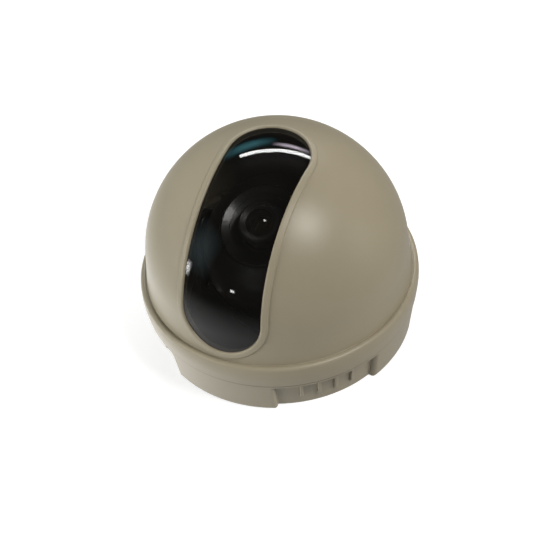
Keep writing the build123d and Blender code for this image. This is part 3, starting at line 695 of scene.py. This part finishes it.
class DOMECAM_OT_build_lens_inside(bpy.types.Operator):
    """Build the stepped baffle and the inner glass behind the front glass"""

    bl_idname = "domecam.build_lens_inside"
    bl_label = "Build Lens Inside"

    def execute(self, context):
        self.turn_baffle(context)
        self.grind_glass(context)
        return {"FINISHED"}

    def turn_baffle(self, context):
        depth = BAFFLE_FRONT - BAFFLE_BACK
        bpy.ops.object.select_all(action="DESELECT")
        bpy.ops.mesh.primitive_cylinder_add(
            vertices=BAFFLE_SIDES,
            radius=BAFFLE_RADIUS,
            depth=depth,
            location=BALL_CENTRE + LENS_AXIS * (BAFFLE_BACK + depth / 2),
            rotation=LENS_TURN.to_euler(),
        )
        baffle = context.object
        baffle.name = "lens_baffle"
        bpy.ops.object.mode_set(mode="EDIT")
        bpy.ops.mesh.select_mode(type="FACE")
        choose_faces(baffle, LENS_AXIS)
        for ledge, drop in BAFFLE_STEPS:
            bpy.ops.mesh.inset(thickness=ledge)
            bpy.ops.mesh.extrude_region_move(TRANSFORM_OT_translate={"value": LENS_AXIS * -drop})
        choose_faces(baffle, -LENS_AXIS)
        bpy.ops.mesh.inset(thickness=sum(ledge for ledge, drop in BAFFLE_STEPS))
        self.open_iris(baffle)
        bpy.ops.mesh.select_all(action="SELECT")
        bpy.ops.mesh.normals_make_consistent(inside=False)
        settle(baffle, "lens", bpy.data.materials["black_anodised_metal"], BAFFLE_ROUNDING)

    def open_iris(self, baffle):
        """Joins the two round faces that are left, at the iris and at the back, into a hole."""
        bpy.ops.object.mode_set(mode="OBJECT")
        for face in baffle.data.polygons:
            face.select = len(face.vertices) == BAFFLE_SIDES
        if sum(face.select for face in baffle.data.polygons) != 2:
            raise RuntimeError("the baffle's iris was not found")
        bpy.ops.object.mode_set(mode="EDIT")
        bpy.ops.mesh.bridge_edge_loops()

    def grind_glass(self, context):
        rim = BALL_CENTRE + LENS_AXIS * (INNER_GLASS_SEAT + INNER_GLASS_EDGE)
        bpy.ops.mesh.primitive_uv_sphere_add(
            segments=INNER_GLASS_SEGMENTS,
            ring_count=INNER_GLASS_RINGS,
            radius=INNER_GLASS_CURVE,
            location=rim + LENS_AXIS * (INNER_GLASS_CROWN - INNER_GLASS_CURVE),
            rotation=LENS_TURN.to_euler(),
        )
        glass = context.object
        glass.name = "lens_inner_glass"
        bpy.ops.object.mode_set(mode="EDIT")
        bpy.ops.mesh.select_all(action="SELECT")
        bpy.ops.mesh.bisect(
            plane_co=rim, plane_no=LENS_AXIS, use_fill=True, clear_inner=True, threshold=CUT_EXACTNESS
        )
        choose_faces(glass, -LENS_AXIS)
        bpy.ops.mesh.extrude_region_move(
            TRANSFORM_OT_translate={"value": LENS_AXIS * -INNER_GLASS_EDGE}
        )
        bpy.ops.mesh.select_all(action="SELECT")
        bpy.ops.mesh.normals_make_consistent(inside=False)
        settle(glass, "lens", bpy.data.materials["coated_glass"], INNER_GLASS_ROUNDING)


def aim(location, target):
    """Rotation that points a lamp's -Z at a target."""
    return (Vector(target) - Vector(location)).to_track_quat("-Z", "Y").to_euler()


def soft_lamp(name, direction, distance, size, power, tone):
    """Rectangular lamp at a direction and distance from the ball, facing it."""
    place = BALL_CENTRE + Vector(direction).normalized() * distance
    bpy.ops.object.light_add(type="AREA", location=place, rotation=aim(place, BALL_CENTRE))
    lamp = bpy.context.object
    lamp.name = name
    lamp.data.shape = "RECTANGLE"
    lamp.data.size, lamp.data.size_y = size
    lamp.data.energy = power
    lamp.data.color = tone
    lamp.visible_glossy = name not in LAMPS_OUT_OF_GLOSS


def gloss_card(name, direction, distance, size, strength, tone):
    """Glowing card with soft edges that shows only as a reflection."""
    place = BALL_CENTRE + Vector(direction).normalized() * distance
    bpy.ops.mesh.primitive_grid_add(
        x_subdivisions=4,
        y_subdivisions=4,
        size=2 * CARD_HALF,
        location=place,
        rotation=aim(place, BALL_CENTRE),
    )
    card = bpy.context.object
    card.name = name
    card.scale = (size[0], size[1], 1.0)
    card.data.materials.append(card_light(name + "_light", strength, tone))
    card.visible_camera = card.visible_diffuse = False
    card.visible_transmission = card.visible_shadow = False


class DOMECAM_OT_build_stage(bpy.types.Operator):
    """Lay the floor, hang the lamps and set up the photograph's view"""

    bl_idname = "domecam.build_stage"
    bl_label = "Build Stage"

    def execute(self, context):
        turn = self.place_camera(context)
        self.lay_floor(context)
        self.hang_lamps(context, turn)
        context.scene.view_settings.view_transform = "Standard"
        return {"FINISHED"}

    def place_camera(self, context):
        """Adds the camera and returns the turn from the view's directions to the part's."""
        view = context.scene.domecam_view
        level = cos(view.elevation)
        back = Vector((sin(view.azimuth) * level, -cos(view.azimuth) * level, sin(view.elevation)))
        right = Vector((cos(view.azimuth), sin(view.azimuth), 0))
        up = back.cross(right)
        image_right = right * cos(view.roll) + up * sin(view.roll)
        image_up = up * cos(view.roll) - right * sin(view.roll)
        target = BALL_CENTRE + image_right * view.aim_right + image_up * view.aim_up
        turn = Matrix((image_right, image_up, back)).transposed()
        bpy.ops.object.camera_add()
        camera = context.object
        camera.name = "photo_camera"
        camera.matrix_world = Matrix.Translation(target + back * view.distance) @ turn.to_4x4()
        camera.data.sensor_width = SENSOR_WIDTH
        camera.data.lens = view.focal_length
        camera.data.clip_start = CLIP_START
        context.scene.camera = camera
        return turn

    def lay_floor(self, context):
        bpy.ops.mesh.primitive_grid_add(
            x_subdivisions=8, y_subdivisions=8, size=FLOOR_SIDE, location=(0, 0, -FLOOR_DEPTH)
        )
        floor = context.object
        floor.name = "pale_floor"
        floor.data.materials.append(white_paper())

    def hang_lamps(self, context, turn):
        world = bpy.data.worlds.new("dim_room")
        context.scene.world = world
        world.use_nodes = True
        room = world.node_tree.nodes["Background"].inputs
        room["Color"].default_value = ROOM_COLOUR
        room["Strength"].default_value = ROOM_STRENGTH
        for name, direction, *rest in LAMPS:
            soft_lamp(name, turn @ Vector(direction), *rest)
        for name, direction, *rest in CARDS:
            gloss_card(name, turn @ Vector(direction), *rest)


class DOMECAM_PT_panel(bpy.types.Panel):
    """Lists the steps that dress the camera"""

    bl_label = "Dome Camera"
    bl_idname = "DOMECAM_PT_panel"
    bl_space_type = "VIEW_3D"
    bl_region_type = "UI"
    bl_category = "Dome Camera"

    def draw(self, context):
        for settings in (context.scene.domecam_shell, context.scene.domecam_view):
            box = self.layout.box()
            for name in settings.__annotations__:
                box.prop(settings, name)
        for step in STEPS:
            self.layout.operator(step.bl_idname)


STEPS = (
    DOMECAM_OT_build_stage,
    DOMECAM_OT_finish_shell,
    DOMECAM_OT_finish_window,
    DOMECAM_OT_finish_works,
    DOMECAM_OT_finish_lens,
    DOMECAM_OT_build_lens_inside,
)
CLASSES = (ShellSettings, ViewSettings, *STEPS, DOMECAM_PT_panel)


def register():
    for cls in CLASSES:
        bpy.utils.register_class(cls)
    bpy.types.Scene.domecam_shell = PointerProperty(type=ShellSettings)
    bpy.types.Scene.domecam_view = PointerProperty(type=ViewSettings)


def unregister():
    del bpy.types.Scene.domecam_view
    del bpy.types.Scene.domecam_shell
    for cls in reversed(CLASSES):
        bpy.utils.unregister_class(cls)


def main():
    register()
    bpy.ops.object.select_all(action="DESELECT")
    bpy.ops.domecam.build_stage()
    bpy.ops.domecam.finish_shell()
    bpy.ops.domecam.finish_window()
    bpy.ops.domecam.finish_works()
    bpy.ops.domecam.finish_lens()
    bpy.ops.domecam.build_lens_inside()


if __name__ == "__main__":
    main()
